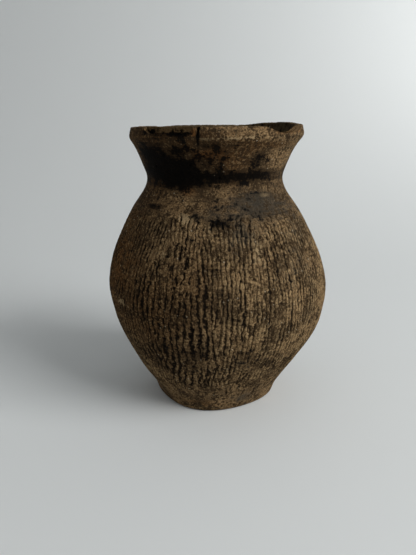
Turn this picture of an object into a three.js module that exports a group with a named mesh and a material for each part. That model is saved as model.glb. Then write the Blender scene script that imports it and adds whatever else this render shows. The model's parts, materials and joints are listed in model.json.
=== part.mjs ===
// A cord-marked cooking jar, hand-built from a flat disc of clay, eight coils and a rim strip.
// Millimetres, +Z up. The jar stands on Z = 0 and its chipped rim faces -Y.
// Each mesh is one piece of clay. A coil's lower edge laps over the outside of the piece below.
import * as THREE from 'three';

// The outside of the wall as height and radius, up to the widest line of the rim strip
const OUTSIDE = [
  [0, 40.1], [9, 43.9], [24, 53.5], [41, 63.1], [50, 67.4], [60, 70.4], [78, 72.8], [97, 69.0],
  [115, 61.2], [128, 54.2], [140, 46.1], [147.5, 44.0], [156, 46.7], [166, 51.2], [173, 55.9],
];
// The inside of the wall, from the floor to the lip
const INSIDE = [
  [9, 31.5], [13, 36.5], [24, 45.4], [41, 55.4], [60, 63.0], [78, 65.7], [97, 61.8], [115, 53.6],
  [128, 46.6], [140, 39.3], [147.5, 38.0], [156, 40.3], [166, 44.8], [173, 47.7], [180, 49.0],
];

// The jar stands a little crooked: its sections are pushed to +X by this much at each height
const NECK_X = -1.9;
const LEAN = [
  [0, 0.1], [20, 1.0], [40, 2.5], [50, 2.9], [60, 2.7], [80, 1.8], [100, 0.9], [120, 0.4], [140, 0],
  [160, 0.1], [173, 1.0],
];
const RIM_TILT = 0.9; // the mouth is this much higher at +X and lower at -X

// The foot is slightly square, and the wall is a little out of round, as hand-built walls are
const FOOT_LOBE = 1.1;
const FOOT_LOBE_COUNT = 4;
const FOOT_LOBE_AT = -17; // degrees right of the front
const FOOT_LOBE_HEIGHT = 28; // the squareness dies out over this height
const FOOT_EDGE = 1.4; // the worn edge round the bottom
const OUT_OF_ROUND = 0.5;

// The floor inside and the disc below it
const FLOOR_HEIGHT = 9;
const FLOOR_DISH = 0.8; // the floor's middle is this much lower than its edge
const DISC_EDGE_HEIGHT = 5; // where the foot coil laps over the disc, outside

// Heights of the laps between the coils, in the middle of the wall
const WALL_LAP = 28;
const LOWER_BELLY_LAP = 50;
const BELLY_LAP = 71;
const UPPER_BELLY_LAP = 92;
const SHOULDER_LAP = 113;
const NECK_LAP = 134;
const RIM_LAP = 156;
const LAP_RISE = 6; // a lap rises this much from the outside of the wall to the inside
const SLIP_GAP = 0.3; // the thin joint between two pieces of clay

// The mouth: the lip's height by degrees right of the front (-Y)
const LIP = [
  [-180, 179.2], [-150, 179.0], [-135, 178.3], [-118, 178.8], [-90, 178.5], [-45, 179.3], [0, 179.8],
  [50, 180.1], [90, 180.5], [117, 181.4], [135, 180.9], [146, 180.4], [157, 179.3], [180, 179.2],
];
const LIP_ROUND = 1.1; // rounding of the lip's edges
const BAND_FOOT = 166.5; // the rim strip's lower edge, feathered out on the flare
const BAND_CORNER = 173; // its widest line
const BAND_LEAN_IN = 0.25; // its outer face comes in by this much for each millimetre up
const SEAM_RADIUS = 51.6; // the joint between the strip and the flare, near the lip

// Damage: degrees right of the front, and how far the edge is below the lip
const CHIP = [
  [20, 0], [32, 0.5], [38.5, 2.7], [45, 4.0], [52, 3.9], [59, 3.3], [66, 1.9], [75, 0.3], [80, 0],
];
const SCAR = [
  [-52, 0], [-50, 1.9], [-46, 3.2], [-38, 3.7], [-30, 3.1], [-22, 3.8], [-17, 3.3], [-15.5, 1.4],
  [-14.4, 0],
];
const CRACK = [[-13.1, 0], [-12.2, 2.6], [-11.5, 5.4], [-10.8, 2.1], [-10.1, 0]];

// Fineness of the mesh
const AROUND = 60; // stations round a coil
const RIM_AROUND = 120; // stations round the mouth, where the damage is
const STEP_UP = 7; // about one section point in this many millimetres
const RIM_SPANS = 3; // section spans down the inside of the flare

// Fired clay, more or less sooty: colour and roughness
const FOOT_CLAY = [0x5d4a33, 0.9];
const BROWN_CLAY = [0x54442f, 0.92];
const TAN_CLAY = [0x6a563a, 0.92];
const DARK_CLAY = [0x3a3026, 0.9];
const SOOTY_CLAY = [0x241f1b, 0.86];

// A smooth curve through points [x, y]: cubic between neighbours, level beyond the ends
function through(points) {
  const slope = (i) => {
    const before = points[Math.max(i - 1, 0)];
    const after = points[Math.min(i + 1, points.length - 1)];
    return (after[1] - before[1]) / (after[0] - before[0]);
  };
  return (x) => {
    if (x <= points[0][0]) return points[0][1];
    if (x >= points.at(-1)[0]) return points.at(-1)[1];
    const i = points.findIndex((point) => point[0] > x) - 1;
    const [x0, y0] = points[i];
    const [x1, y1] = points[i + 1];
    const width = x1 - x0;
    const t = (x - x0) / width;
    const bend = slope(i) * width * t * (1 - t) ** 2 - slope(i + 1) * width * t ** 2 * (1 - t);
    return y0 + (y1 - y0) * (3 - 2 * t) * t ** 2 + bend;
  };
}

// Straight lines through points [x, y], level beyond the ends
function joined(points) {
  return (x) => {
    const i = points.findIndex((point) => point[0] > x);
    if (i < 0) return points.at(-1)[1];
    if (i === 0) return points[0][1];
    const [x0, y0] = points[i - 1];
    const [x1, y1] = points[i];
    return y0 + ((y1 - y0) * (x - x0)) / (x1 - x0);
  };
}

const outside = through(OUTSIDE);
const inside = through(INSIDE);
const lean = through(LEAN);
const lip = through(LIP);
const chip = through(CHIP);
const scar = joined(SCAR);
const crack = joined(CRACK);

// Angles run from +X towards +Y. This turns one into degrees right of the front, -180 to 180.
function rightOfFront(angle) {
  const degrees = THREE.MathUtils.radToDeg(angle) + 90;
  return THREE.MathUtils.euclideanModulo(degrees + 180, 360) - 180;
}

// How far the hand-built wall departs from a true circle. It is nothing at +X and -X.
function outOfRound(z, angle) {
  const oval = Math.sin(2 * angle) * Math.sin(z / 24);
  const threeSided = Math.sin(3 * angle) * Math.cos(z / 31);
  return OUT_OF_ROUND * (oval + 0.7 * threeSided);
}

function footLobes(z, angle) {
  const fade = THREE.MathUtils.smoothstep(z, 0, FOOT_LOBE_HEIGHT);
  const turn = THREE.MathUtils.degToRad(rightOfFront(angle) - FOOT_LOBE_AT);
  return FOOT_LOBE * (1 - fade) * Math.cos(FOOT_LOBE_COUNT * turn);
}

function tilt(z, angle) {
  return RIM_TILT * THREE.MathUtils.smoothstep(z, NECK_LAP, BAND_CORNER) * Math.cos(angle);
}

// A point of the jar: radius and height on the true section, moved to where the hands left it
function place(radius, z, angle) {
  const x = NECK_X + lean(z) + radius * Math.cos(angle);
  return new THREE.Vector3(x, radius * Math.sin(angle), z + tilt(z, angle));
}

function outsidePoint(z, angle) {
  return place(outside(z) + outOfRound(z, angle) + footLobes(z, angle), z, angle);
}

function insidePoint(z, angle) {
  return place(inside(z) + outOfRound(z, angle), z, angle);
}

// Evenly spaced heights from one to another, about STEP_UP apart, or in a given number of spans
function heights(from, to, spans = Math.max(1, Math.round(Math.abs(to - from) / STEP_UP))) {
  return Array.from({ length: spans + 1 }, (_, i) => from + ((to - from) * i) / spans);
}

// Evenly spaced angles, with some more at given degrees right of the front
function stations(count, extra = []) {
  const even = Array.from({ length: count }, (_, i) => (i * 2 * Math.PI) / count);
  const added = extra.map((degrees) => THREE.MathUtils.degToRad(270 + degrees));
  return [...even, ...added].sort((a, b) => a - b);
}

const coilStations = stations(AROUND);
const rimStations = stations(RIM_AROUND, CRACK.map(([degrees]) => degrees));

// Joins the sections into one closed body. A section runs up the outside and down the inside.
// One that doesn't come back to its start is closed at the jar's axis by two centre points.
function closedBody(angles, sectionAt, centres = []) {
  const sections = angles.map(sectionAt);
  const size = sections[0].length;
  const points = [...sections.flat(), ...centres];
  const faces = [];
  sections.forEach((_, i) => {
    const here = i * size;
    const next = ((i + 1) % sections.length) * size;
    const edges = centres.length ? size - 1 : size;
    for (let j = 0; j < edges; j += 1) {
      const k = (j + 1) % size;
      faces.push([here + j, next + j, next + k], [here + j, next + k, here + k]);
    }
    if (centres.length) {
      const [bottom, top] = [points.length - 2, points.length - 1];
      faces.push([bottom, next, here], [top, here + size - 1, next + size - 1]);
    }
  });
  const position = points.flatMap((point) => point.toArray());
  const geometry = new THREE.BufferGeometry();
  geometry.setAttribute('position', new THREE.Float32BufferAttribute(position, 3));
  geometry.setIndex(faces.flat());
  geometry.computeVertexNormals();
  return geometry;
}

// Half the slip gap, measured straight up on a lap with this rise across this much wall
function halfGap(rise, wall) {
  return (SLIP_GAP / 2) * Math.hypot(1, rise / wall);
}

// Where a lap meets the outside and the inside of the wall
function lapAt(height) {
  const gap = halfGap(LAP_RISE, outside(height) - inside(height));
  return { low: height - LAP_RISE / 2, high: height + LAP_RISE / 2, gap };
}

// The lap of the foot coil over the base disc ends inside at the floor
const floorLap = {
  low: DISC_EDGE_HEIGHT,
  high: FLOOR_HEIGHT,
  gap: halfGap(FLOOR_HEIGHT - DISC_EDGE_HEIGHT, outside(DISC_EDGE_HEIGHT) - inside(FLOOR_HEIGHT)),
};

function coil(bottom, top) {
  const up = heights(bottom.low + bottom.gap, top.low - top.gap);
  const down = heights(top.high - top.gap, bottom.high + bottom.gap);
  return closedBody(coilStations, (angle) => [
    ...up.map((z) => outsidePoint(z, angle)),
    ...down.map((z) => insidePoint(z, angle)),
  ]);
}

function baseDisc() {
  const centres = [place(0, 0, 0), place(0, FLOOR_HEIGHT - FLOOR_DISH, 0)];
  const floorRadius = inside(FLOOR_HEIGHT);
  return closedBody(
    coilStations,
    (angle) => [
      place(outside(0) + footLobes(0, angle) - FOOT_EDGE, 0, angle),
      outsidePoint(FOOT_EDGE, angle),
      outsidePoint(floorLap.low - floorLap.gap, angle),
      place(floorRadius, FLOOR_HEIGHT - floorLap.gap, angle),
      place(floorRadius / 2, FLOOR_HEIGHT - FLOOR_DISH * 0.8, angle),
    ],
    centres,
  );
}

// The lip's height on the flare, and the strip's, which has lost a flake and is cracked
function flareTop(angle) {
  const at = rightOfFront(angle);
  return lip(at) - tilt(BAND_CORNER, angle) - chip(at);
}

function bandTop(angle) {
  const at = rightOfFront(angle);
  return flareTop(angle) - scar(at) - crack(at);
}

function rimCoil() {
  const bottom = lapAt(RIM_LAP);
  const up = heights(bottom.low + bottom.gap, BAND_FOOT);
  return closedBody(rimStations, (angle) => {
    const top = flareTop(angle);
    const seam = SEAM_RADIUS - SLIP_GAP / 2 + outOfRound(BAND_CORNER, angle);
    const down = heights(top - LIP_ROUND, bottom.high + bottom.gap, RIM_SPANS);
    return [
      ...up.map((z) => outsidePoint(z, angle)),
      place(seam, BAND_CORNER, angle),
      place(seam, top - LIP_ROUND / 2, angle),
      place((seam + inside(top)) / 2, top, angle),
      ...down.map((z) => insidePoint(z, angle)),
    ];
  });
}

function rimBand() {
  return closedBody(rimStations, (angle) => {
    const top = bandTop(angle);
    const seam = SEAM_RADIUS + SLIP_GAP / 2 + outOfRound(BAND_CORNER, angle);
    const widest = outside(BAND_CORNER) + outOfRound(BAND_CORNER, angle);
    const face = heights(BAND_CORNER, top - LIP_ROUND, 2);
    const faceRadius = (z) => widest - BAND_LEAN_IN * (z - BAND_CORNER);
    return [
      outsidePoint(BAND_FOOT + SLIP_GAP * 2, angle),
      outsidePoint((BAND_FOOT + BAND_CORNER) / 2, angle),
      ...face.map((z) => place(faceRadius(z), z, angle)),
      place(faceRadius(top) - LIP_ROUND, top, angle),
      place(seam, top - LIP_ROUND / 2, angle),
      place(seam, BAND_CORNER, angle),
    ];
  });
}

function piece(name, geometry, [color, roughness]) {
  const clay = new THREE.MeshStandardMaterial({ color, roughness, metalness: 0 });
  const mesh = new THREE.Mesh(geometry, clay);
  mesh.name = name;
  return mesh;
}

const wallLap = lapAt(WALL_LAP);
const lowerBellyLap = lapAt(LOWER_BELLY_LAP);
const bellyLap = lapAt(BELLY_LAP);
const upperBellyLap = lapAt(UPPER_BELLY_LAP);
const shoulderLap = lapAt(SHOULDER_LAP);
const neckLap = lapAt(NECK_LAP);
const rimLap = lapAt(RIM_LAP);

const jar = new THREE.Group();
jar.add(
  piece('base_disc', baseDisc(), FOOT_CLAY),
  piece('foot_coil', coil(floorLap, wallLap), FOOT_CLAY),
  piece('lower_wall_coil', coil(wallLap, lowerBellyLap), BROWN_CLAY),
  piece('lower_belly_coil', coil(lowerBellyLap, bellyLap), BROWN_CLAY),
  piece('belly_coil', coil(bellyLap, upperBellyLap), TAN_CLAY),
  piece('upper_belly_coil', coil(upperBellyLap, shoulderLap), BROWN_CLAY),
  piece('shoulder_coil', coil(shoulderLap, neckLap), DARK_CLAY),
  piece('neck_coil', coil(neckLap, rimLap), SOOTY_CLAY),
  piece('rim_coil', rimCoil(), DARK_CLAY),
  piece('rim_band', rimBand(), BROWN_CLAY),
);

export default jar;
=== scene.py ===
# %% [markdown]
# This is a small cooking jar of coarse brown clay. It was built by hand from a flat disc, eight
# coils and a strip round the mouth, beaten with a paddle wrapped in cord, wiped round the neck
# and fired in an open fire. The frame loaded here holds those pieces as smooth solids at their
# real size. This lesson gives each of them its real surface, and every new piece fills the same
# space as the solid that it stands for.

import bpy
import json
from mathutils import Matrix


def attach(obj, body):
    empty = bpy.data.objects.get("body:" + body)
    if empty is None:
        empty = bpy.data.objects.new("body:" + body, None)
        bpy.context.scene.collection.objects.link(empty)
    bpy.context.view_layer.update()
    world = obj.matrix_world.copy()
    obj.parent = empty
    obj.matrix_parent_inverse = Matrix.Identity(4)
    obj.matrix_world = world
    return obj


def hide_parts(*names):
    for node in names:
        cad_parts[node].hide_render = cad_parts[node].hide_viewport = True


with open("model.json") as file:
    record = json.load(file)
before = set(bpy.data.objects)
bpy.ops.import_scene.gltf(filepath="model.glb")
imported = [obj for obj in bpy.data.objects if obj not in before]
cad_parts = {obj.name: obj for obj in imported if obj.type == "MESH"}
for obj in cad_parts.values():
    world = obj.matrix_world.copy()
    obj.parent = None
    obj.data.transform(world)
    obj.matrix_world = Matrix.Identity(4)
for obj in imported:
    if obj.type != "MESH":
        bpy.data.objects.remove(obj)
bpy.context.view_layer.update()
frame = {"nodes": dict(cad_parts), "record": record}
print("solids in the frame:", ", ".join(sorted(frame["nodes"])))

# %% Tools that the cells below use
import json
import math
from types import SimpleNamespace

import bpy
import numpy as np
from mathutils import Vector

MM = 0.001  # sizes are written in millimetres, and Blender works in metres
print("Blender", bpy.app.version_string)

# %% [markdown]
# The camera comes first, because everything is judged through it. It stands level with the lip
# of the jar and looks down at the belly, so the mouth shows only as a thin slit. A lens length
# and a sensor size could be guessed, but it is simpler to say how many pixels wide one metre is
# at a distance of one metre, and to work the lens out from that.

# %% Camera
CAMERA_AT = (-6.33, -367.2, 184.6)
CAMERA_LOOKS_DOWN = 16.05  # degrees
FOCAL_LENGTH_IN_PIXELS = 560
PICTURE_HEIGHT_IN_PIXELS = 555
SENSOR = 36

camera = bpy.data.objects.new("camera", bpy.data.cameras.new("camera"))
camera.data.sensor_width = SENSOR
camera.data.lens = SENSOR * FOCAL_LENGTH_IN_PIXELS / PICTURE_HEIGHT_IN_PIXELS
camera.location = Vector(CAMERA_AT) * MM
camera.rotation_euler = (math.radians(90 - CAMERA_LOOKS_DOWN), 0, 0)
bpy.context.scene.collection.objects.link(camera)
bpy.context.scene.camera = camera
print(f"lens {camera.data.lens:.2f} mm, {-CAMERA_AT[1]:.0f} mm in front of the jar's middle")

# %% [markdown]
# The solids were made from a few driving dimensions: the radius of the wall at some heights, how
# far the crooked wall leans, and how high the lip is all the way round. The same numbers are
# written here again, because the new surfaces have to lie exactly on the old ones. Turns are in
# degrees to the right of the front, which faces -Y.

# %% Driving dimensions of the wall, in millimetres
OUTSIDE = [
    (0, 40.1), (9, 43.9), (24, 53.5), (41, 63.1), (50, 67.4), (60, 70.4), (78, 72.8), (97, 69.0),
    (115, 61.2), (128, 54.2), (140, 46.1), (147.5, 44.0), (156, 46.7), (166, 51.2), (173, 55.9),
]
INSIDE = [
    (9, 31.5), (13, 36.5), (24, 45.4), (41, 55.4), (60, 63.0), (78, 65.7), (97, 61.8), (115, 53.6),
    (128, 46.6), (140, 39.3), (147.5, 38.0), (156, 40.3), (166, 44.8), (173, 47.7), (180, 49.0),
]
NECK_X = -1.9
LEAN = [
    (0, 0.1), (20, 1.0), (40, 2.5), (50, 2.9), (60, 2.7), (80, 1.8), (100, 0.9), (120, 0.4),
    (140, 0), (160, 0.1), (173, 1.0),
]
RIM_TILT = 0.9
FOOT_LOBE, FOOT_LOBE_COUNT, FOOT_LOBE_AT, FOOT_LOBE_HEIGHT = 1.1, 4, -17, 28
FOOT_EDGE = 1.4
OUT_OF_ROUND = 0.5
FLOOR_HEIGHT, FLOOR_DISH, DISC_EDGE_HEIGHT = 9, 0.8, 5
LAP_RISE = 6
LAPS = {"wall": 28, "lower_belly": 50, "belly": 71, "upper_belly": 92, "shoulder": 113, "neck": 134,
        "rim": 156}

# %% Driving dimensions of the mouth and its damage
LIP = [
    (-180, 179.2), (-150, 179.0), (-135, 178.3), (-118, 178.8), (-90, 178.5), (-45, 179.3),
    (0, 179.8), (50, 180.1), (90, 180.5), (117, 181.4), (135, 180.9), (146, 180.4), (157, 179.3),
    (180, 179.2),
]
BAND_FOOT, BAND_CORNER, BAND_LEAN_IN, SEAM_RADIUS = 166.5, 173, 0.25, 51.6
CHIP = [
    (20, 0), (32, 0.5), (38.5, 2.7), (45, 4.0), (52, 3.9), (59, 3.3), (66, 1.9), (75, 0.3), (80, 0),
]
SCAR = [
    (-52, 0), (-50, 1.9), (-46, 3.2), (-38, 3.7), (-30, 3.1), (-22, 3.8), (-17, 3.3), (-15.5, 1.4),
    (-14.4, 0),
]
CRACK = [(-13.1, 0), (-12.2, 2.6), (-11.5, 5.4), (-10.8, 2.1), (-10.1, 0)]
print("tallest point of the lip:", max(height for _, height in LIP), "mm")

# %% [markdown]
# A wall like this could be drawn as a profile and spun, but a hand-built wall isn't round. So
# the jar is worked out as a grid: stations go round it, rows go up it, and a few short functions
# say where each crossing lies. numpy works out a whole grid in one go.

# %% Curves through given points
STATIONS = 1200  # grid lines round the jar, 0.4 mm apart at the belly
turns = np.linspace(-180, 180, STATIONS, endpoint=False)
angles = np.radians(turns - 90)  # from +X, as a circle's angles run


def through(points):
    """A smooth curve through points (x, y): cubic between neighbours, level beyond the ends."""
    x, y = np.array(points, float).T
    each = np.arange(len(x))
    before, after = np.maximum(each - 1, 0), np.minimum(each + 1, len(x) - 1)
    slope = (y[after] - y[before]) / (x[after] - x[before])

    def curve(at):
        i = np.clip(np.searchsorted(x, at, side="right") - 1, 0, len(x) - 2)
        width = x[i + 1] - x[i]
        t = np.clip((at - x[i]) / width, 0, 1)
        bend = slope[i] * width * t * (1 - t) ** 2 - slope[i + 1] * width * t**2 * (1 - t)
        return y[i] + (y[i + 1] - y[i]) * (3 - 2 * t) * t**2 + bend

    return curve


def joined(points):
    """Straight lines through points (x, y), level beyond the ends."""
    x, y = np.array(points, float).T
    return lambda at: np.interp(at, x, y)


def smoothstep(value, low, high):
    t = np.clip((value - low) / (high - low), 0, 1)
    return t * t * (3 - 2 * t)


inside_radius, lean, lip_height = through(INSIDE), through(LEAN), through(LIP)
wall_radius, chip_depth = through(OUTSIDE), through(CHIP)
print("widest wall:", round(float(wall_radius(np.linspace(0, 173, 500)).max()), 2), "mm")

# %% Where a point of the wall lies


def out_of_round(z):
    oval = np.sin(2 * angles) * np.sin(z / 24)
    three_sided = np.sin(3 * angles) * np.cos(z / 31)
    return OUT_OF_ROUND * (oval + 0.7 * three_sided)


def foot_lobes(z):
    squareness = 1 - smoothstep(z, 0, FOOT_LOBE_HEIGHT)
    return FOOT_LOBE * squareness * np.cos(FOOT_LOBE_COUNT * np.radians(turns - FOOT_LOBE_AT))


def tilt(z):
    return RIM_TILT * smoothstep(z, LAPS["neck"], BAND_CORNER) * np.cos(angles)


def place(radius, z):
    """Moves points from the true section to where the hands left them."""
    x = NECK_X + lean(z) + radius * np.cos(angles)
    y = radius * np.sin(angles) + 0 * x
    return np.stack([x, y, z + tilt(z)], axis=-1)


def outer(z):
    """The wall's outer radius. Above its widest line the rim strip's face leans in."""
    lean_in = BAND_LEAN_IN * np.maximum(z - BAND_CORNER, 0)
    return wall_radius(z) - lean_in + out_of_round(np.minimum(z, BAND_CORNER)) + foot_lobes(z)


def inner(z):
    return inside_radius(z) + out_of_round(z)


def slope_of(profile, z, step=0.5):
    return (profile(z + step) - profile(z - step)) / (2 * step)


foot = outer(0.0)
print(f"the foot reaches {foot.min():.1f} to {foot.max():.1f} mm from the axis")

# %% [markdown]
# A broken or worn edge is never a clean curve. This helper gives a wavering line that comes back
# to its start after a full turn: random heights at even places, with a smooth curve between.
# Every such line has a fixed seed, so the jar breaks in the same way each time.

# %% Ragged edges


def ragged(seed, places):
    """A smooth random line round the jar, about -1 to 1, with that many bends."""
    heights = np.random.default_rng(seed).uniform(-1, 1, places)
    width = 360 / places
    at = [((i - 2) * width - 180, heights[i % places]) for i in range(places + 5)]
    return through(at)(turns)


WEAR_BROAD, WEAR_FINE = 0.25, 0.2  # how deep the lip is worn, in two sizes of dent
CHIP_TEAR, SCAR_TEAR = 0.35, 0.5  # how ragged the broken edges are
lip_wear = WEAR_BROAD * np.maximum(ragged(3, 90), 0) + WEAR_FINE * np.maximum(ragged(4, 240), 0)
chip = chip_depth(turns)
chipped = smoothstep(chip, 0.15, 0.9)
scar = joined(SCAR)(turns)
crack = joined(CRACK)(turns)
scarred = smoothstep(scar + crack, 0.2, 1.0)
flare_top = lip_height(turns) - tilt(BAND_CORNER) - chip - lip_wear
flare_top = flare_top - chipped * CHIP_TEAR * (1 + ragged(5, 200)) / 2
band_top = flare_top - scar - crack - scarred * SCAR_TEAR * (1 + ragged(6, 220)) / 2
print(f"lip wear up to {lip_wear.max():.2f} mm, chip {chip.max():.1f} mm deep")

# %% [markdown]
# Each piece of clay is one closed band. Its section goes up the outside of the wall, across the
# joint with the coil above, down the inside and back across the joint with the coil below. A
# strip of rows is kept as arrays: radius, height, and the direction that the clay faces, as an
# angle from level-and-outward (0) through straight up (90) to level-and-inward (180).

# %% Strips of rows
OUTSIDE_STEP, INSIDE_STEP = 0.6, 1.7


def strip(radius, z, facing, inside=0.0, broken=0.0, skin=True):
    """Rows of clay, each value spread over rows and stations. Skin shows, a joint doesn't."""
    spread = np.broadcast_arrays(radius, z, facing, inside, broken, turns)
    radius, z, facing, inside, broken = spread[:5]
    return {"radius": radius, "z": z, "facing": facing, "inside": inside, "broken": broken,
            "skin": np.full(len(radius), skin)}


def rows_between(low, high, step):
    """Heights from one to another, about a step apart, as a column with a value per station."""
    low, high = np.broadcast_arrays(low, high, turns)[:2]
    count = math.ceil(np.abs(high - low).max() / step) + 1
    return low + (high - low) * np.linspace(0, 1, count)[:, None]


def outside_strip(low, high):
    z = rows_between(low, high, OUTSIDE_STEP)
    return strip(outer(z), z, -np.arctan(slope_of(outer, z)))


def inside_strip(high, low):
    z = rows_between(high, low, INSIDE_STEP)
    return strip(inner(z), z, np.pi - np.arctan(slope_of(inner, z)), inside=1.0)


def joint_strip(before, after, rows=2):
    """Hidden rows across a joint, from the last row of one strip to the first of the next."""
    t = np.linspace(0, 1, rows + 2)[1:-1, None]
    radius = before["radius"][-1] * (1 - t) + after["radius"][0] * t
    z = before["z"][-1] * (1 - t) + after["z"][0] * t
    return strip(radius, z, 0.0, skin=False)


def stacked(*strips):
    return {key: np.concatenate([one[key] for one in strips]) for key in strips[0]}


print("outside rows", OUTSIDE_STEP, "mm apart, inside rows", INSIDE_STEP, "mm")

# %% [markdown]
# Seven of the ten pieces are plain coils. Each was pressed down over the one below, so its joint
# is a slope through the wall, a little higher on the inside than on the outside. One function
# makes them all from the two slopes that bound them.

# %% The coils
disc_lap = {"low": DISC_EDGE_HEIGHT, "high": FLOOR_HEIGHT}
laps = {name: {"low": z - LAP_RISE / 2, "high": z + LAP_RISE / 2} for name, z in LAPS.items()}


def coil(bottom, top):
    up = outside_strip(bottom["low"], top["low"])
    down = inside_strip(top["high"], bottom["high"])
    return stacked(up, joint_strip(up, down), down, joint_strip(down, up))


print("laps at", ", ".join(f"{name} {z} mm" for name, z in LAPS.items()))

# %% [markdown]
# The mouth is two pieces: the flare, and a strip of clay laid round the outside of it to thicken
# the lip. They meet on an upright seam. A flake of the strip has broken off at the left of the
# front and shows that seam, beside it the strip is cracked, and at the right a chip goes through
# both. Both pieces end at the same ragged lines, so they stay flush wherever they aren't broken.

# %% The mouth
LIP_ROUND, BROKEN_ROUND = 1.3, 0.4
LIP_ROWS = 7
SEAM_DIP = 0.2  # the joint between flare and strip shows as a faint line along the lip
SEAM_STOP = 0.3  # how far below the lip the seam face ends
quarter = np.linspace(0, np.pi / 2, LIP_ROWS)[:, None]
rise, turn_in = quarter[1:], quarter[1:]
seam = SEAM_RADIUS + out_of_round(BAND_CORNER)


def rim_coil():
    """The flare: outside up to the strip's foot, seam, lip, and down the inside."""
    bottom = laps["rim"]
    round_by = LIP_ROUND + (BROKEN_ROUND - LIP_ROUND) * chipped
    up = outside_strip(bottom["low"], BAND_FOOT)
    seam_z = rows_between(BAND_CORNER, flare_top - SEAM_STOP, OUTSIDE_STEP)
    seam_foot = joint_strip(up, strip(seam, seam_z[:1], 0.0), rows=8)
    bared = smoothstep(seam_z - band_top, 0.0, 0.4)
    seam_face = strip(seam, seam_z, 0.0, broken=bared)
    across = np.linspace(0, 1, LIP_ROWS)[:, None]
    lip_inner = inner(flare_top) + round_by
    dip = SEAM_DIP * (1 - across) ** 2
    top = strip(seam + (lip_inner - seam) * across, flare_top - dip, np.pi / 2, broken=chipped)
    curl_radius = lip_inner - round_by * np.sin(turn_in)
    curl_z = flare_top - round_by * (1 - np.cos(turn_in))
    curl = strip(curl_radius, curl_z, np.pi / 2 + turn_in, smoothstep(turn_in, 0, 1.5), chipped)
    down = inside_strip(flare_top - round_by, bottom["high"])
    down = {key: value[1:] for key, value in down.items()}
    return stacked(up, seam_foot, seam_face, top, curl, down, joint_strip(down, up))


def rim_band():
    """The strip: its underside, its face that leans in, the lip, and the hidden seam."""
    torn = np.maximum(chipped, scarred)
    round_by = LIP_ROUND + (BROKEN_ROUND - LIP_ROUND) * torn
    low = outside_strip(BAND_FOOT, BAND_CORNER)
    face_z = rows_between(BAND_CORNER, band_top - round_by, OUTSIDE_STEP)[1:]
    face = strip(outer(face_z), face_z, math.atan(BAND_LEAN_IN))
    edge = outer(band_top - round_by)
    curl_radius = edge - round_by * (1 - np.cos(rise))
    curl_z = band_top - round_by * (1 - np.sin(rise))
    curl = strip(curl_radius, curl_z, rise, broken=torn)
    across = np.linspace(0, 1, LIP_ROWS)[1:, None]
    top_edge = edge - round_by
    top_z = band_top - SEAM_DIP * across**2
    top = strip(top_edge + (seam - top_edge) * across, top_z, np.pi / 2, broken=torn)
    up = stacked(low, face, curl, top)
    seam_z = rows_between(band_top, BAND_CORNER, 2 * OUTSIDE_STEP)[1:]
    back = strip(seam, seam_z, np.pi, skin=False)
    return stacked(up, back, joint_strip(back, up, rows=5))


print(f"the lip is {float((outer(BAND_CORNER) - inner(BAND_CORNER)).mean()):.1f} mm thick")

# %% [markdown]
# The tenth piece is the flat disc that the potter started from. Its top is the floor inside the
# jar. Its section doesn't close on itself as a coil's does: it starts near the axis underneath,
# goes round the edge, and ends near the axis on top.

# %% The disc under the floor
POLE_GAP = 0.5  # radius of the smallest ring round the jar's axis
UNDERSIDE_ROWS, FLOOR_ROWS = 22, 18
floor_radius = float(inside_radius(FLOOR_HEIGHT))


def base_disc():
    """A section that starts and ends near the axis. Its two ends are closed by centre points."""
    edge = outer(0.0) - FOOT_EDGE
    share = np.linspace(0, 1, UNDERSIDE_ROWS)[:, None]
    under = strip(POLE_GAP + (edge - POLE_GAP) * share, 0.0, -np.pi / 2)
    bend = quarter[1:-1]
    curl_radius = edge + (outer(FOOT_EDGE) - edge) * np.sin(bend)
    curl = strip(curl_radius, FOOT_EDGE * (1 - np.cos(bend)), bend - np.pi / 2)
    wall = outside_strip(FOOT_EDGE, DISC_EDGE_HEIGHT)
    floor_share = np.linspace(1, 0, FLOOR_ROWS)[:, None]
    floor_r = POLE_GAP + (floor_radius - POLE_GAP) * floor_share
    dish = FLOOR_DISH * (1 - smoothstep(floor_r, 0, floor_radius))
    floor = strip(floor_r, FLOOR_HEIGHT - dish, np.pi / 2, inside=1.0)
    up = stacked(under, curl, wall)
    return stacked(up, joint_strip(up, floor), floor)


sections = {
    "base_disc": base_disc(),
    "foot_coil": coil(disc_lap, laps["wall"]),
    "lower_wall_coil": coil(laps["wall"], laps["lower_belly"]),
    "lower_belly_coil": coil(laps["lower_belly"], laps["belly"]),
    "belly_coil": coil(laps["belly"], laps["upper_belly"]),
    "upper_belly_coil": coil(laps["upper_belly"], laps["shoulder"]),
    "shoulder_coil": coil(laps["shoulder"], laps["neck"]),
    "neck_coil": coil(laps["neck"], laps["rim"]),
    "rim_coil": rim_coil(),
    "rim_band": rim_band(),
}
for name, section in sections.items():
    print(f"{name}: {len(section['z'])} rows")
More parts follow.
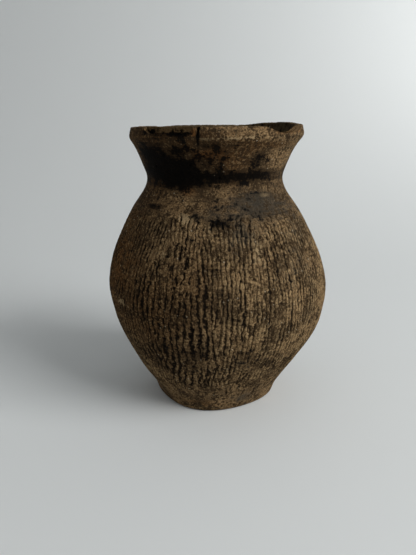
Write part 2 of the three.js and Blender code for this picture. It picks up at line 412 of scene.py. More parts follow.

# %% [markdown]
# Smoke, flames and the ground have coloured this jar in patches. A few patches are painted light,
# in whole or in part: a shadow under the rim strip, shade down a hairline crack below its notch, a
# highlight along the strip's widest edge and a sheen on the right shoulder. Where a patch lies is
# a fact about this jar, so each is one entry in a list: its turn and height, how far it reaches to
# the side (degrees) and upwards (millimetres), and how strong it is. The list only gives soft
# clouds. The material breaks them up into ragged stains later.

# %% Patches of soot, smoke, pale clay, rust and burning, and of painted shadow, shade, highlight and sheen
PATCHES = {
    "soot": [
        # the neck and the flare
        (-38, 157, 19, 9, 1.1), (-55, 165, 14, 8, 0.6), (-6, 163, 34, 9, 0.33), (-8, 162, 26, 11, 0.2),
        (-28, 150, 20, 6, 0.8), (-65, 152, 22, 6, 0.6), (0, 151, 30, 3.5, 0.75), (40, 151, 26, 3.5, 0.6),
        (10, 146, 50, 6, 0.12), (0, 142, 60, 5, 0.22), (30, 162, 6, 5, 0.4), (34, 158, 9, 7, 0.3),
        # the rim, its scar and its crack: the thin line at 169 mm is painted shadow under the strip, and
        # the last one is painted shade down a hairline crack
        (-12, 169, 44, 1.6, 0.2), (-20, 175, 22, 4, 0.3), (-47, 177, 6, 2, 0.7), (-24, 176, 8, 2, 0.7),
        (-11.5, 174, 0.8, 5, 0.9),
        # the shoulder and the belly
        (-5, 128, 12, 6, 0.25), (30, 130, 34, 10, 0.27), (-45, 133, 8, 2.0, 0.75), (3, 126, 7, 2.5, 0.5),
        (-1, 100, 3, 6, 0.55), (-15, 50, 22, 14, 0.2), (14, 48, 7, 7, 0.3), (-12, 52, 8, 4, 0.3),
        (48, 38, 2.2, 2.6, 0.8),
        # the back, guessed
        (110, 152, 40, 6, 0.7), (165, 158, 30, 9, 0.9), (-120, 150, 35, 5, 0.7), (150, 118, 22, 12, 0.5),
        (-150, 70, 14, 16, 0.4),
    ],
    "smoke": [
        # smoke on the right shoulder, partly a painted sheen
        (14, 120, 13, 9, 0.8), (28, 136, 26, 9, 0.95), (58, 122, 20, 14, 0.5), (-4, 130, 10, 4, 0.5),
        (25, 9, 11, 5, 0.8), (12, 44, 9, 10, 0.45), (40, 100, 14, 12, 0.4), (-20, 58, 16, 8, 0.25),
        # the back, guessed
        (135, 126, 40, 18, 0.8), (-160, 100, 26, 20, 0.7), (-100, 40, 25, 14, 0.5),
    ],
    "pale": [
        # the second one, a thin line at 172.8 mm, is a painted highlight along the strip's widest edge
        (15, 174, 34, 3.2, 0.4), (8, 172.8, 70, 1.2, 0.35), (20, 163, 20, 5, 0.35),
        (-10, 168, 20, 4, 0.3),
        (-18, 143, 8, 3, 0.45), (39, 140, 8, 1.8, 0.6), (-20, 128, 7, 4, 0.8), (-5, 123, 5, 6, 0.6),
        (22, 110, 5, 6, 0.7), (-28, 108, 4, 3, 0.6), (-45, 112, 24, 9, 0.2), (50, 98, 4, 5, 0.4),
        (-55, 75.5, 4.5, 3.2, 0.9), (70, 60, 24, 30, 0.2), (0, 60, 60, 30, 0.15), (-15, 30, 14, 7, 0.25),
        # the back, guessed
        (-110, 105, 18, 14, 0.5), (120, 62, 20, 15, 0.4), (170, 80, 12, 20, 0.4), (-75, 118, 12, 8, 0.3),
    ],
    "rust": [
        (-14, 176, 3, 3.5, 0.9), (52, 176, 26, 2.2, 0.7), (-8, 165, 16, 4, 0.7), (15, 161, 22, 5, 0.45),
        (-20, 143, 9, 4, 0.8), (-62, 100, 22, 30, 0.6), (-30, 60, 22, 20, 0.3), (60, 60, 14, 25, 0.3),
        (-10, 6, 40, 6, 0.5),
        # the back, guessed
        (-130, 128, 20, 9, 0.6), (95, 90, 20, 20, 0.4),
    ],
    "burnt": [
        # the second one, a thin band at 168.5 mm, is painted shadow under the rim strip
        (-25, 175, 26, 3, 0.5), (5, 168.5, 70, 2.2, 0.9), (-5, 165, 28, 8, 0.9), (-4, 163, 34, 12, 0.9),
        (-62, 162, 40, 22, 1.0), (0, 150, 60, 5, 0.7), (12, 134, 30, 7, 0.4), (-10, 100, 16, 18, 0.4),
        (-75, 95, 42, 50, 1.0), (-30, 70, 26, 26, 0.6), (14, 50, 9, 14, 0.45), (-25, 36, 26, 16, 0.35),
        # the back, guessed
        (170, 60, 30, 30, 0.6), (110, 100, 20, 40, 0.4), (-140, 160, 40, 14, 0.7),
    ],
}


def cloud(patches, z):
    """The patches' soft sum over a grid of heights and the stations."""
    total = np.zeros(np.broadcast_shapes(z.shape, turns.shape))
    for turn, height, wide, tall, strength in patches:
        aside = (turns - turn + 180) % 360 - 180
        total += strength * np.exp(-((aside / wide) ** 2) - ((z - height) / tall) ** 2)
    return total


print({name: len(patches) for name, patches in PATCHES.items()}, "patches")

# %% [markdown]
# Now the grids become meshes. Each row is a ring of points, and neighbouring rows are joined by
# four-sided faces, so nothing has to be merged or filled afterwards. What Geometry Nodes and the
# materials need to know is stored on the points as named attributes. Edges between skin and
# joint are marked sharp, so that the hidden joint doesn't bend the light on the skin.

# %% Faces between rows


def ring_faces(rows, closed):
    """Corner numbers of the faces between rows of stations. A closed section joins up again."""
    last = rows if closed else rows - 1
    here = np.arange(last)[:, None] * STATIONS + np.arange(STATIONS)
    beside = np.arange(last)[:, None] * STATIONS + (np.arange(STATIONS) + 1) % STATIONS
    points = rows * STATIONS
    above, above_beside = (here + STATIONS) % points, (beside + STATIONS) % points
    return np.stack([here, beside, above_beside, above], axis=-1).reshape(-1, 4)


def pole_faces(ring, centre, upward):
    """A fan of triangles between a ring of points and a centre point."""
    here = ring * STATIONS + np.arange(STATIONS)
    beside = ring * STATIONS + (np.arange(STATIONS) + 1) % STATIONS
    middle = np.full(STATIONS, centre)
    return np.stack([middle, here, beside] if upward else [middle, beside, here], axis=-1)


def store(mesh, name, kind, values, domain="POINT"):
    field = {"FLOAT": "value", "FLOAT_VECTOR": "vector", "BOOLEAN": "value"}[kind]
    attribute = mesh.attributes.new(name, kind, domain)
    attribute.data.foreach_set(field, np.ascontiguousarray(values).ravel())


# %% [markdown]
# The export paints each piece's colours onto a picture of its own, so each piece needs a flat
# layout. A ring unrolls into a long ribbon, which would fill a square badly. It is cut into four
# quarters that lie one above the other, and in each the skin outside gets most of the height,
# the skin inside less, and the hidden joints a thin line each.

# %% Flat layout of a ring
QUARTERS = 4
LAYOUT_MARGIN = 0.006
SHARE_OUTSIDE, SHARE_INSIDE, SHARE_JOINT = 0.70, 0.20, 0.02


def layout_heights(section):
    """For each row of faces, where its lower and upper edge lie in a quarter, from 0 to 1."""
    rows = len(section["z"])
    following = (np.arange(rows) + 1) % rows
    skin = section["skin"] & section["skin"][following]
    inside = section["inside"].mean(axis=1)
    inward = skin & (inside + inside[following] > 1)
    kinds = np.where(~skin, 0, np.where(inward, 2, 1))
    length = np.hypot(section["radius"].mean(1) - section["radius"].mean(1)[following],
                      section["z"].mean(1) - section["z"].mean(1)[following])
    low, high, start = np.zeros(rows), np.zeros(rows), LAYOUT_MARGIN
    for kind, share in ((1, SHARE_OUTSIDE), (2, SHARE_INSIDE), (0, 2 * SHARE_JOINT)):
        chosen = np.flatnonzero(kinds == kind)
        if len(chosen) == 0:
            continue
        reach = np.cumsum(length[chosen]) / length[chosen].sum() * share
        low[chosen] = start + np.r_[0, reach[:-1]]
        high[chosen] = start + reach
        start += share + LAYOUT_MARGIN
    return low, high


def ring_layout(section, closed):
    low, high = layout_heights(section)
    rows = len(low) if closed else len(low) - 1
    station = np.arange(STATIONS)
    quarter_of = station // (STATIONS // QUARTERS)
    left = (station % (STATIONS // QUARTERS)) / (STATIONS // QUARTERS)
    right = left + QUARTERS / STATIONS
    u = np.stack([left, right, right, left], axis=-1) * (1 - 2 * LAYOUT_MARGIN) + LAYOUT_MARGIN
    u = np.broadcast_to(u, (rows, STATIONS, 4))
    v = np.stack([low[:rows], low[:rows], high[:rows], high[:rows]], axis=-1)[:, None, :]
    v = (quarter_of[None, :, None] + v) / QUARTERS
    return np.stack([u, v], axis=-1).reshape(-1, 2)


# %% [markdown]
# A section that closes on itself gives a plain ring. The disc's section ends at the axis on both
# sides, so two fans of triangles close it there.

# %% From a section to a mesh


def clay_mesh(name, section, closed):
    rows = len(section["z"])
    points = place(section["radius"], section["z"]).reshape(-1, 3)
    faces = [tuple(face) for face in ring_faces(rows, closed).tolist()]
    level, upward = np.cos(section["facing"]), np.sin(section["facing"])
    out = np.stack([np.cos(angles) * level, np.sin(angles) * level, upward], axis=-1)
    out = (out * section["skin"][:, None, None]).reshape(-1, 3)
    values = {key: section[key].ravel() for key in ("inside", "broken")}
    values["height"] = section["z"].ravel()
    for key, patches in PATCHES.items():
        values[key] = (cloud(patches, section["z"]) * (1 - section["inside"])).ravel()
    layout = ring_layout(section, closed)
    if not closed:
        bottom, top = rows * STATIONS, rows * STATIONS + 1
        centres = np.array([points[:STATIONS].mean(0), points[-STATIONS:].mean(0)])
        points = np.concatenate([points, centres])
        faces += [tuple(face) for face in pole_faces(0, bottom, False).tolist()]
        faces += [tuple(face) for face in pole_faces(rows - 1, top, True).tolist()]
        out = np.concatenate([out, [(0, 0, -1), (0, 0, 1)]])
        ends = [0, (rows - 1) * STATIONS]
        values = {key: np.r_[value, value[ends]] for key, value in values.items()}
    mesh = bpy.data.meshes.new(name)
    mesh.from_pydata((points * MM).tolist(), [], faces)
    mesh.shade_smooth()
    store(mesh, "out", "FLOAT_VECTOR", out)
    for key, value in values.items():
        store(mesh, key, "FLOAT", value)
    store(mesh, "sharp_edge", "BOOLEAN", sharp_edges(mesh, section["skin"]), "EDGE")
    return mesh, layout


def sharp_edges(mesh, skin):
    """True for edges that run along the last row of skin before a joint."""
    ends = np.zeros(len(mesh.edges) * 2, int)
    mesh.edges.foreach_get("vertices", ends)
    rows = ends.reshape(-1, 2) // STATIONS
    border = skin & ~(np.roll(skin, 1) & np.roll(skin, -1))
    border = np.r_[border, False]
    row = np.minimum(rows, len(skin))
    return (row[:, 0] == row[:, 1]) & border[row[:, 0]]


made = {name: clay_mesh(name, section, name != "base_disc") for name, section in sections.items()}
print("faces:", sum(len(mesh.polygons) for mesh, _ in made.values()))

# %% [markdown]
# Geometry Nodes and materials are both networks of nodes, and most of their nodes are sums. This
# small class lets a sum be written as one: it wraps a socket, and each arithmetic sign on it adds
# the Math node that works it out. Every other node comes from one method of the bench.

# %% A bench for building node trees


class Wire:
    """A socket of a node tree. Arithmetic on it adds Math nodes."""

    def __init__(self, bench, socket):
        self.bench = bench
        self.socket = socket

    def __add__(self, other):
        return self.bench.maths("ADD", self, other)

    def __radd__(self, other):
        return self.bench.maths("ADD", other, self)

    def __sub__(self, other):
        return self.bench.maths("SUBTRACT", self, other)

    def __rsub__(self, other):
        return self.bench.maths("SUBTRACT", other, self)

    def __mul__(self, other):
        return self.bench.maths("MULTIPLY", self, other)

    def __rmul__(self, other):
        return self.bench.maths("MULTIPLY", other, self)

    def __truediv__(self, other):
        return self.bench.maths("DIVIDE", self, other)

    def __rtruediv__(self, other):
        return self.bench.maths("DIVIDE", other, self)


class Bench:
    """Adds nodes to a tree."""

    def __init__(self, tree):
        self.tree = tree

    def node(self, kind, settings=None, sockets=None, output=0):
        """One node: its settings first, then the values or links of its sockets."""
        new = self.tree.nodes.new(kind)
        for name, value in (settings or {}).items():
            setattr(new, name, value)
        for name, value in (sockets or {}).items():
            if isinstance(value, Wire):
                self.tree.links.new(value.socket, new.inputs[name])
            else:
                new.inputs[name].default_value = value
        return Wire(self, new.outputs[output]) if new.outputs else None

    def maths(self, operation, *values):
        return self.node("ShaderNodeMath", {"operation": operation}, dict(enumerate(values)))

    def vector(self, operation, sockets):
        return self.node("ShaderNodeVectorMath", {"operation": operation}, sockets)

    def parts(self, vector):
        """The x, y and z of a vector."""
        first = self.node("ShaderNodeSeparateXYZ", None, {0: vector})
        return [Wire(self, socket) for socket in first.socket.node.outputs]

    def smooth(self, value, low, high):
        """0 below low, 1 above high and a smooth step between."""
        limits = {"Value": value, "From Min": low, "From Max": high}
        return self.node("ShaderNodeMapRange", {"interpolation_type": "SMOOTHSTEP"}, limits)

    def sized(self, where, size):
        """A place divided by a grain size in millimetres, one for all ways or one for each."""
        each = size if isinstance(size, tuple) else (size, size, size)
        return self.vector("MULTIPLY", {0: where, 1: tuple(1 / way for way in each)})

    def noise(self, where, size, detail=2.0, roughness=0.55):
        """Cloudy values from 0 to 1, in blots of about that size in millimetres."""
        sockets = {"Vector": self.sized(where, size), "Scale": 1.0}
        sockets.update({"Detail": detail, "Roughness": roughness})
        return self.node("ShaderNodeTexNoise", None, sockets)

    def named(self, name, kind="FLOAT"):
        """A value stored on the mesh, in a Geometry Nodes tree."""
        return self.node("GeometryNodeInputNamedAttribute", {"data_type": kind}, {"Name": name})

    def stored(self, name):
        """The same in a material."""
        return self.node("ShaderNodeAttribute", {"attribute_name": name}, None, "Fac")

    def mix(self, share, below, above):
        """One colour over another. The Mix node's colours are its sockets 6 and 7."""
        return self.node("ShaderNodeMix", {"data_type": "RGBA"}, {0: share, 6: below, 7: above}, 2)


# %% [markdown]
# The belly was beaten with a paddle wrapped in two-ply cord. One blow leaves a patch of near
# upright grooves, and the next blow covers part of it with grooves of its own. A picture could
# fake that, but the marks are nearly a millimetre deep and show in the outline, so they are cut
# into the mesh. A Voronoi pattern makes one cell per blow. In each cell the grooves run one way,
# measured from the cell's centre, so there is no seam at the back. Every groove has its own
# depth and ends at its own height, and the twist of the cord shows as beads along it.

# %% Sizes of the marks, in millimetres and degrees
MARKS = {
    "Blow Width": 27.0, "Blow Height": 46.0, "Fine Spacing": 2.6, "Bold Spacing": 4.3,
    "Groove Depth": 1.1, "Bead Length": 2.6, "Marks From": 17.0, "Marks To": 127.0,
    "Wiping Depth": 0.16, "Grain Depth": 0.22, "Pit Depth": 0.7, "Unevenness": 0.5,
    "Break Roughness": 0.9, "Corner Wear": 0.45, "Seed": 7.0,
}
BOLD_TURN = math.radians(-20 - 90)  # the boldest marks are just left of the front
BOLD_WIDTH = math.radians(34)
BOLD_LOW, BOLD_HIGH = 26, 96
print("cord marks", MARKS["Fine Spacing"], "to", MARKS["Bold Spacing"], "mm apart")

# %% Where each blow fell
EDGE_WOBBLE_SIZE, EDGE_WOBBLE = 9, 0.45  # the border between two blows bends, by that share of a blow


def blow_cells(bench, at, given, seed_step):
    """The centre of the blow that a point belongs to, and three random values of that blow."""
    width, height = given["Blow Width"], given["Blow Height"]
    cell = bench.node("ShaderNodeCombineXYZ", None, {0: width, 1: width, 2: height})
    noisy = {"Vector": bench.sized(at, EDGE_WOBBLE_SIZE), "Scale": 1.0}
    wobble = bench.node("ShaderNodeTexNoise", None, noisy, 1)
    wobble = bench.vector("SUBTRACT", {0: wobble, 1: (0.5, 0.5, 0.5)})
    wobble = bench.vector("SCALE", {0: wobble, "Scale": EDGE_WOBBLE})
    spot = bench.vector("ADD", {0: bench.vector("DIVIDE", {0: at, 1: cell}), 1: wobble})
    pattern = {"Vector": spot, "W": given["Seed"] + seed_step, "Scale": 1.0, "Randomness": 0.8}
    cells = bench.node("ShaderNodeTexVoronoi", {"voronoi_dimensions": "4D"}, pattern)
    outputs = cells.socket.node.outputs
    luck = bench.parts(Wire(bench, outputs["Color"]))
    centre = bench.vector("MULTIPLY", {0: Wire(bench, outputs["Position"]), 1: cell})
    return bench.parts(centre), luck


# %% One round of blows
SLOW_BENDS, SLOW_BY = (9, 9, 18), 1.2  # size of a groove's bends, and their reach in spacings
QUICK_BENDS, QUICK_BY = (2.1, 2.1, 3.8), 1.25
FADE_PATCH = (5, 5, 12)


def blows(bench, at, given, seed_step, lean_degrees):
    """How deep the cord has sunk, 0 to 1, in one round of blows with that much random lean."""
    (cx, cy, cz), (luck_lean, luck_phase, luck_line) = blow_cells(bench, at, given, seed_step)
    x, y, z = bench.parts(at)
    reach = bench.maths("SQRT", cx * cx + cy * cy)
    across = (cx * y - cy * x) / reach
    lean_by = (luck_lean - 0.5) * math.radians(2 * lean_degrees)
    turned = across * bench.maths("COSINE", lean_by) + (z - cz) * bench.maths("SINE", lean_by)

    facing_bold = (cx * math.cos(BOLD_TURN) + cy * math.sin(BOLD_TURN)) / reach
    bold = bench.smooth(facing_bold, math.cos(BOLD_WIDTH), 1.0)
    bold = bold * bench.smooth(cz, BOLD_LOW, BOLD_LOW + 15) * bench.smooth(cz, BOLD_HIGH, BOLD_HIGH - 20)
    spacing = given["Fine Spacing"] + (given["Bold Spacing"] - given["Fine Spacing"]) * bold

    wander = (bench.noise(at, SLOW_BENDS) - 0.5) * SLOW_BY
    wander = wander + (bench.noise(at, QUICK_BENDS) - 0.5) * QUICK_BY
    line = turned / spacing + luck_phase * 7 + wander
    number = bench.maths("FLOOR", line) + luck_line * 57
    own = bench.node("ShaderNodeTexWhiteNoise", {"noise_dimensions": "1D"}, {"W": number})
    other = bench.node("ShaderNodeTexWhiteNoise", {"noise_dimensions": "1D"}, {"W": number + 31.7})

    near = 1 - bench.maths("ABSOLUTE", bench.maths("FRACT", line) * 2 - 1)
    twist = bench.maths("SINE", (z / given["Bead Length"] + line + own) * (2 * math.pi)) * 0.5 + 0.5
    groove = bench.smooth(near, 0.58 - 0.28 * own - 0.14 * twist - 0.1 * bold, 0.96)
    fade = bench.smooth(bench.noise(at, FADE_PATCH), 0.34, 0.6) * (1 - bold) + bold
    deep = 0.3 + 0.35 * other + 0.35 * fade + 0.2 * bold * (1 - other)
    groove = groove * deep * (0.66 + 0.34 * twist)

    tall = bench.named("height")
    low = given["Marks From"] + (own - 0.5) * 14
    high = given["Marks To"] + (other - 0.5) * 7
    return groove * bench.smooth(tall, low - 3, low + 3) * bench.smooth(tall, high + 1.5, high - 2)


# %% [markdown]
# The cord marks are only the deepest of the marks. Grit has fallen out and left pits, the lower
# corner of the rim strip is rubbed off, the broken faces are rough, and no coil is quite even.
# Each of these is a short function or a line that says how deep the clay has sunk there.

# %% Pits and the worn corner
PIT_CELL = 5.2
CORNER_REACH, CORNER_PATCH = 1.8, 6


def pitted(bench, at):
    """1 in a pit. About a quarter of the cells have one."""
    cells = {"Vector": bench.sized(at, PIT_CELL), "Scale": 1.0}
    pits = bench.node("ShaderNodeTexVoronoi", None, cells)
    luck = bench.parts(Wire(bench, pits.socket.node.outputs["Color"]))[0]
    return bench.smooth(pits, 0.22, 0.08) * bench.smooth(luck, 0.72, 0.8)


def worn_corner(bench, at):
    """1 along the widest line of the rim strip, more in some places than in others."""
    off_corner = bench.maths("ABSOLUTE", bench.named("height") - BAND_CORNER)
    return bench.smooth(off_corner, CORNER_REACH, 0.0) * (0.55 + 0.7 * bench.noise(at, CORNER_PATCH))


# %% How far the clay has sunk
WEAR_PATCH, WIPING_STREAK, GRAIN_SIZE, UNEVEN_PATCH = 17, (15, 15, 1.6), 1.7, 24
TEAR_COARSE, TEAR_FINE = 3.2, 1.0


def sunken(bench, at, given):
    """The sum of all marks in millimetres, and the two that the materials need as well."""
    z = bench.parts(at)[2]
    outside = 1 - bench.named("inside")
    upright = blows(bench, at, given, seed_step=0, lean_degrees=5)
    crossed = blows(bench, at, given, seed_step=40, lean_degrees=24)
    jumbled = 0.34 + 0.56 * bench.smooth(z, 54, 38)
    worn = bench.smooth(bench.noise(at, WEAR_PATCH), 0.3, 0.5) * 0.45 + 0.55
    groove = bench.maths("MAXIMUM", upright * (1 - 0.35 * jumbled), crossed * jumbled) * worn * outside
    pit = pitted(bench, at)

    plain = 1 - bench.smooth(z, 22, 30) * bench.smooth(z, 130, 122) * outside
    wiped = bench.noise(at, WIPING_STREAK, 3.0) * plain
    grain = bench.noise(at, GRAIN_SIZE, 2.0) * (1.2 - 0.5 * plain)
    tear = bench.noise(at, TEAR_COARSE, 3.0) * 0.7 + bench.noise(at, TEAR_FINE, 2.0) * 0.3
    sunk = (groove * given["Groove Depth"] + wiped * given["Wiping Depth"] + grain * given["Grain Depth"]
            + pit * given["Pit Depth"] + bench.noise(at, UNEVEN_PATCH) * given["Unevenness"]
            + bench.named("broken") * tear * given["Break Roughness"]
            + worn_corner(bench, at) * outside * given["Corner Wear"])
    return sunk, groove, pit


# %% The tree that roughens the clay


def roughened_clay():
    """Sinks the clay's surface by all of its marks. Nothing rises."""
    tree = bpy.data.node_groups.new("roughened clay", "GeometryNodeTree")
    tree.interface.new_socket("Geometry", in_out="OUTPUT", socket_type="NodeSocketGeometry")
    tree.interface.new_socket("Geometry", in_out="INPUT", socket_type="NodeSocketGeometry")
    tree.interface.new_socket("Clay", in_out="INPUT", socket_type="NodeSocketMaterial")
    for name, value in MARKS.items():
        socket = tree.interface.new_socket(name, in_out="INPUT", socket_type="NodeSocketFloat")
        socket.default_value = value
    bench = Bench(tree)
    start = bench.node("NodeGroupInput").socket.node
    given = {socket.name: Wire(bench, socket) for socket in start.outputs if socket.name}
    at = bench.vector("SCALE", {0: bench.node("GeometryNodeInputPosition"), "Scale": 1 / MM})
    sunk, groove, pit = sunken(bench, at, given)
    clay = given["Geometry"]
    for name, value in (("groove", groove), ("pit", pit)):
        sockets = {"Geometry": clay, "Name": name, "Value": value}
        clay = bench.node("GeometryNodeStoreNamedAttribute", None, sockets)
    push = bench.vector("SCALE", {0: bench.named("out", "FLOAT_VECTOR"), "Scale": sunk * -MM})
    clay = bench.node("GeometryNodeSetPosition", None, {"Geometry": clay, "Offset": push})
    clay = bench.node("GeometryNodeRealizeInstances", None, {"Geometry": clay})
    clay = bench.node("GeometryNodeSetMaterial", None, {"Geometry": clay, "Material": given["Clay"]})
    bench.node("NodeGroupOutput", None, {"Geometry": clay})
    return tree


clay_tree = roughened_clay()
print("the clay tree has", len(clay_tree.nodes), "nodes")

# %% [markdown]
# Fired clay isn't one colour. The open fire left it brown to tan, old soot has filled the grooves
# and blackened the neck, and handling has rubbed the ridges pale again. The grooves and pits are
# also darkened as painted shade, and the ridges lightened as painted highlight. The material reads
# the depth of the grooves and the soft patches from the mesh, breaks the patches up with noise, and
# lays the tones over each other from the clay outwards, in the order in which they arrived.

# %% Tones of the clay


def tone(code):
    """A colour written as red, green and blue from 0 to 255, as Blender wants it."""
    share = [((code >> shift) & 255) / 255 for shift in (16, 8, 0)]
    return tuple(c / 12.92 if c <= 0.04045 else ((c + 0.055) / 1.055) ** 2.4 for c in share) + (1.0,)


BROWN, TAN, UMBER = tone(0x5C4932), tone(0x82694A), tone(0x2B2116)
# the dirt tone also paints shade in the grooves and pits
# the ridge tone also paints a highlight on the ridges
# the soot tone also paints shadow and shade along the rim
LIGHT_CLAY_AND_HIGHLIGHT_TONE, DIRT_AND_SHADE_TONE, SOOT_AND_SHADE_TONE = tone(0xAA9069), tone(0x0D0A07), tone(0x050403)
# the pale tone also paints a highlight along the rim strip's widest edge
# the smoke tone is partly a painted sheen on the right shoulder
SMOKE_AND_SHEEN_TONE, PALE, RUST = tone(0x37352F), tone(0xA08A68), tone(0x86592F)
FRESH, INNER, SPECK = tone(0x7B6242), tone(0x504531), tone(0xBCAE94)
# the burnt tone also paints a shadow line under the rim strip
BURNT_AND_SHADOW_TONE = tone(0x4D341B)
print("brown clay is", [round(share, 3) for share in BROWN[:3]], "in linear light")

# %% [markdown]
# Every tone goes by the same few things, so they are gathered once: noises from large blots down
# to dust, the values stored on the mesh, and three masks made of them. "torn" is what frays the
# edge of a soft patch, "marked" is the belly that carries cord marks, and "ridge" is the clay
# left standing between two grooves.

# %% What the tones go by
CLOUDS = {  # size in millimetres, detail, roughness
    "blots": (19, 3.0, 0.55),
    "mottle": (5.5, 4.0, 0.65),
    "grain": (1.5, 3.0, 0.7),
    "dust": (0.7, 2.0, 0.7),
    "streak": ((13, 13, 1.3), 3.0, 0.6),
    "fibre": ((1.1, 1.1, 4.2), 3.0, 0.65),
}
GRIT_CELL = 2.6
SHINE = 0.04  # specular level: fired clay is all but dull


def look_at_surface(bench):
    """The noises, stored values and masks by name."""
    place_on_jar = bench.node("ShaderNodeTexCoord", None, None, "Object")
    seen = SimpleNamespace(at=bench.vector("SCALE", {0: place_on_jar, "Scale": 1 / MM}))
    for name, (size, detail, roughness) in CLOUDS.items():
        setattr(seen, name, bench.noise(seen.at, size, detail, roughness))
    for name in ("groove", "pit", "inside", "broken", "height", *PATCHES):
        setattr(seen, name, bench.stored(name))
    seen.torn = (seen.mottle - 0.5) * 3.4 + (seen.grain - 0.5) * 2.2 + (seen.streak - 0.5) * 0.8
    seen.marked = bench.smooth(seen.height, 18, 30) * bench.smooth(seen.height, 130, 122)
    seen.ridge = bench.smooth(seen.groove + (seen.grain - 0.5) * 0.35, 0.2, 0.0)
    seen.ridge = seen.ridge * seen.marked * (1 - seen.inside)
    return seen


# %% The fired clay


def clay_body(bench, seen):
    """Brown to tan, rubbed pale and lightened as painted highlight on the ridges, burnt in patches with
    a painted shadow under the rim strip, and speckled with its grain.
    """
    colour = bench.mix(bench.smooth(seen.mottle + (seen.blots - 0.5) * 0.8, 0.36, 0.62), BROWN, TAN)
    # the ridges are rubbed pale and lightened further as painted highlight
    rubbed_and_highlight = seen.ridge * bench.smooth(seen.mottle + (seen.fibre - 0.5) * 1.4, 0.36, 0.62)
    colour = bench.mix(rubbed_and_highlight * 0.7, colour, LIGHT_CLAY_AND_HIGHLIGHT_TONE)
    # burnt patches, and a painted shadow line under the rim strip
    colour = bench.mix(bench.smooth(seen.burnt + seen.torn * 0.3, 0.1, 0.95) * 0.85, colour, BURNT_AND_SHADOW_TONE)
    dark_blots = seen.blots + (seen.mottle - 0.5) * 1.2 + (seen.grain - 0.5) * 0.5
    colour = bench.mix(bench.smooth(dark_blots, 0.56, 0.4) * 0.5, colour, UMBER)
    dark_grain = bench.smooth(seen.grain + (seen.dust - 0.5) * 0.7, 0.54, 0.4)
    colour = bench.mix(dark_grain * 0.68, colour, UMBER)
    pale_grain = bench.smooth(seen.grain + (seen.dust - 0.5) * 0.5, 0.54, 0.66)
    colour = bench.mix(pale_grain * 0.4, colour, LIGHT_CLAY_AND_HIGHLIGHT_TONE)
    scorched = bench.smooth(seen.mottle + (seen.grain - 0.5) * 0.8, 0.5, 0.36) * (1 - 0.4 * seen.marked)
    return bench.mix(scorched * 0.6, colour, UMBER)


# %% Stains of fire and ground, with a painted sheen and a painted highlight


def stains_and_painted_light(bench, seen, colour):
    """Rust, the dark lines left by wiping, smoke and pale patches, with a painted sheen on the right
    shoulder and a painted highlight along the rim strip.
    """
    rusty = bench.smooth(seen.rust + seen.torn * 0.5, 0.35, 0.95) * 0.5
    colour = bench.mix(rusty, colour, RUST)
    wiped = bench.smooth(seen.streak, 0.52, 0.7) * (1 - seen.marked) * 0.4
    colour = bench.mix(wiped, colour, UMBER)
    # smoke-grey stain, partly a painted sheen on the right shoulder
    seen.smoky = bench.smooth(seen.smoke + seen.torn * 0.9, 0.2, 1.05) * (1 - 0.5 * seen.ridge) * 0.8
    colour = bench.mix(seen.smoky, colour, SMOKE_AND_SHEEN_TONE)
    # pale patches, and a painted highlight along the rim strip's widest edge
    bleached_and_highlight = bench.smooth(seen.pale + seen.torn * 0.6 - seen.groove * 0.6, 0.4, 0.85) * 0.75
    return bench.mix(bleached_and_highlight, colour, PALE)


# %% The inside and the broken faces


def bared(bench, seen, colour):
    """The dim inside of the jar, and the fresh clay of its breaks."""
    dim = bench.mix(bench.smooth(seen.mottle, 0.4, 0.65), INNER, UMBER)
    colour = bench.mix(seen.inside * 0.9, colour, dim)
    fresh = seen.broken * (1 - bench.smooth(seen.grain, 0.45, 0.6) * 0.6) * 0.8
    return bench.mix(fresh, colour, FRESH)


# %% Dirt, grit and soot, with painted shade in the hollows and along the rim


def sooted_and_shaded(bench, seen, colour):
    """Dirt and painted shade in the grooves and pits, a few pale grits, and the soot over everything,
    with painted shade in a few rim patches.
    """
    # the grooves and pits are darkened near black: dirt, and painted shade in the hollows
    dirt_and_groove_shade = bench.smooth(seen.groove + (seen.grain - 0.5) * 0.45, 0.14, 0.56) * 0.94
    colour = bench.mix(dirt_and_groove_shade, colour, DIRT_AND_SHADE_TONE)
    colour = bench.mix(seen.pit * 0.8, colour, DIRT_AND_SHADE_TONE)
    cells = {"Vector": bench.sized(seen.at, GRIT_CELL), "Scale": 1.0}
    grits = bench.node("ShaderNodeTexVoronoi", None, cells)
    luck = bench.parts(Wire(bench, grits.socket.node.outputs["Color"]))[0]
    grit = bench.smooth(grits, 0.22, 0.12) * bench.smooth(luck, 0.9, 0.95)
    colour = bench.mix(grit * 0.5, colour, SPECK)
    # soot, with painted shadow under the rim strip and painted shade down the hairline crack
    seen.sooty = bench.smooth(seen.soot + seen.torn * 0.8, 0.18, 0.8) * 0.98
    return bench.mix(seen.sooty, colour, SOOT_AND_SHADE_TONE)


# %% The material


def fired_clay(name):
    """Weathered earthenware in all its tones, for any part of the jar."""
    material = bpy.data.materials.new(name)
    material.use_nodes = True
    material.node_tree.nodes.clear()
    bench = Bench(material.node_tree)
    seen = look_at_surface(bench)
    colour = clay_body(bench, seen)
    for layer in (stains_and_painted_light, bared, sooted_and_shaded):
        colour = layer(bench, seen, colour)
    roughness = 0.95 - seen.smoky * 0.18 - seen.sooty * 0.1 - (1 - seen.marked) * 0.06
    height = seen.grain * 0.4 + seen.dust * 0.2 + seen.streak * (1 - seen.marked) * 0.22
    bump = bench.node("ShaderNodeBump", None, {"Strength": 1.0, "Distance": MM, "Height": height})
    sockets = {"Base Color": colour, "Roughness": roughness, "Normal": bump, "Specular IOR Level": SHINE}
    clay = bench.node("ShaderNodeBsdfPrincipled", None, sockets)
    bench.node("ShaderNodeOutputMaterial", None, {"Surface": clay})
    return material


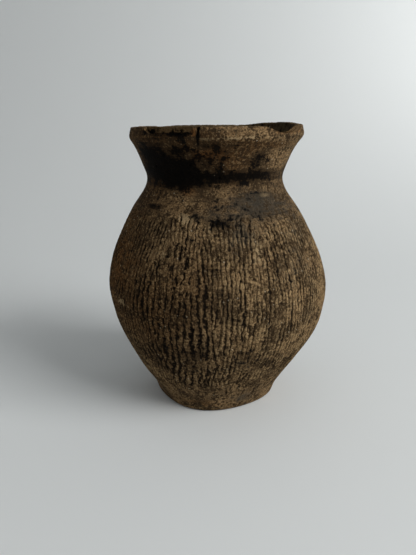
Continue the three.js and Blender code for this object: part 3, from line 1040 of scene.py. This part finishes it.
SLOTS = {part["node"]: part["material_slot"] for part in frame["record"]["subparts"]}
clays = {slot: fired_clay(slot.replace("_", " ")) for slot in sorted(set(SLOTS.values()))}
print("materials:", ", ".join(clay.name for clay in clays.values()))

# %% [markdown]
# The tree now goes over each mesh as a modifier. Its material input is set by the socket's
# identifier before anything is evaluated, the result is copied into a plain mesh, and the
# modifier goes away. Last, the piece rides on the root and the solid that it stands for is hidden.

# %% Roughen every piece


def roughen(name, mesh, layout, clay):
    """A finished piece: its mesh is roughened, plain, and laid out flat for the export."""
    piece = bpy.data.objects.new(name + "_clay", mesh)
    bpy.context.scene.collection.objects.link(piece)
    modifier = piece.modifiers.new("roughened clay", "NODES")
    modifier.node_group = clay_tree
    for item in clay_tree.interface.items_tree:
        if item.name == "Clay":
            modifier[item.identifier] = clay
    graph = bpy.context.evaluated_depsgraph_get()
    finished = bpy.data.meshes.new_from_object(piece.evaluated_get(graph), depsgraph=graph)
    piece.modifiers.clear()
    piece.data = finished
    corners = np.zeros((len(finished.loops), 2), np.float32)
    corners[: len(layout)] = layout
    if len(layout) < len(corners):  # the disc's two fans are 1 mm wide and keep their own size
        spots = np.zeros(len(corners), int)
        finished.loops.foreach_get("vertex_index", spots)
        points = np.zeros(len(finished.vertices) * 3)
        finished.vertices.foreach_get("co", points)
        fan = points.reshape(-1, 3)[spots[len(layout):], :2]
        corners[len(layout):] = 0.5 + fan
    finished.uv_layers.new(name="OFBake").data.foreach_set("uv", corners.ravel())
    return piece


for name, (mesh, layout) in made.items():
    piece = roughen(name, mesh, layout, clays[SLOTS[name]])
    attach(piece, "root")
    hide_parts(name)
    print(f"{piece.name}: {len(piece.data.polygons)} faces")

# %% [markdown]
# A jar this dark needs a pale, plain surround. The floor runs up into the backdrop in one sweep,
# so no line shows behind the jar. A large lamp to the right and above stands for a window, and a
# weak one to the left for the room. A third lights the backdrop alone: it is turned away from the
# jar, because a pale background must not come from more light on the object. The world fills in
# the shadows from all sides.

# %% Floor and backdrop
# in metres: y of the front edge, y where the floor starts to rise, radius of the bend, top
SWEEP_HALF_WIDTH, SWEEP_FRONT, SWEEP_RISE, SWEEP_BEND, SWEEP_TOP = 2.5, -1.4, 0.3, 1.4, 2.4
SWEEP_STEPS = 24
sweep_line = [(SWEEP_FRONT, 0.0)]
for step in range(SWEEP_STEPS + 1):
    turn = step / SWEEP_STEPS * math.pi / 2
    sweep_line.append((SWEEP_RISE + SWEEP_BEND * math.sin(turn), SWEEP_BEND * (1 - math.cos(turn))))
sweep_line.append((SWEEP_RISE + SWEEP_BEND, SWEEP_TOP))
sweep_points = [(side * SWEEP_HALF_WIDTH, y, z) for y, z in sweep_line for side in (-1, 1)]
sweep_faces = [(2 * i, 2 * i + 1, 2 * i + 3, 2 * i + 2) for i in range(len(sweep_line) - 1)]
sweep_mesh = bpy.data.meshes.new("sweep")
sweep_mesh.from_pydata(sweep_points, [], sweep_faces)
sweep_mesh.shade_smooth()
sweep = bpy.data.objects.new("sweep", sweep_mesh)
bpy.context.scene.collection.objects.link(sweep)
paper = bpy.data.materials.new("pale paper")
paper.use_nodes = True
paper_sockets = paper.node_tree.nodes["Principled BSDF"].inputs
paper_sockets["Base Color"].default_value = tone(0xE3E6E5)
paper_sockets["Roughness"].default_value = 0.9
sweep_mesh.materials.append(paper)
print("the sweep has", len(sweep_faces), "faces")

# %% Lamps and world
JAR_MIDDLE = (0, 0, 0.09)
LAMPS = {  # place and aim in metres, size in metres, watts
    "window": ((1.25, -0.75, 0.95), JAR_MIDDLE, 1.1, 25.0),
    "room": ((-1.3, -1.4, 0.9), JAR_MIDDLE, 1.6, 0.9),
    "backdrop lamp": ((1.05, 0.85, 0.85), (0.5, 1.75, 0.5), 0.8, 4.5),
}
for name, (at, aim, size, watts) in LAMPS.items():
    lamp = bpy.data.objects.new(name, bpy.data.lights.new(name, "AREA"))
    lamp.data.size = size
    lamp.data.energy = watts
    lamp.location = at
    lamp.rotation_euler = (Vector(aim) - Vector(at)).to_track_quat("-Z", "Y").to_euler()
    bpy.context.scene.collection.objects.link(lamp)
world = bpy.data.worlds.new("soft daylight")
world.use_nodes = True
sky = world.node_tree.nodes["Background"].inputs
sky["Color"].default_value = (0.96, 0.98, 1.0, 1.0)
sky["Strength"].default_value = 0.27
bpy.context.scene.world = world
bpy.context.scene.view_settings.view_transform = "Standard"
print("lamps:", ", ".join(LAMPS))
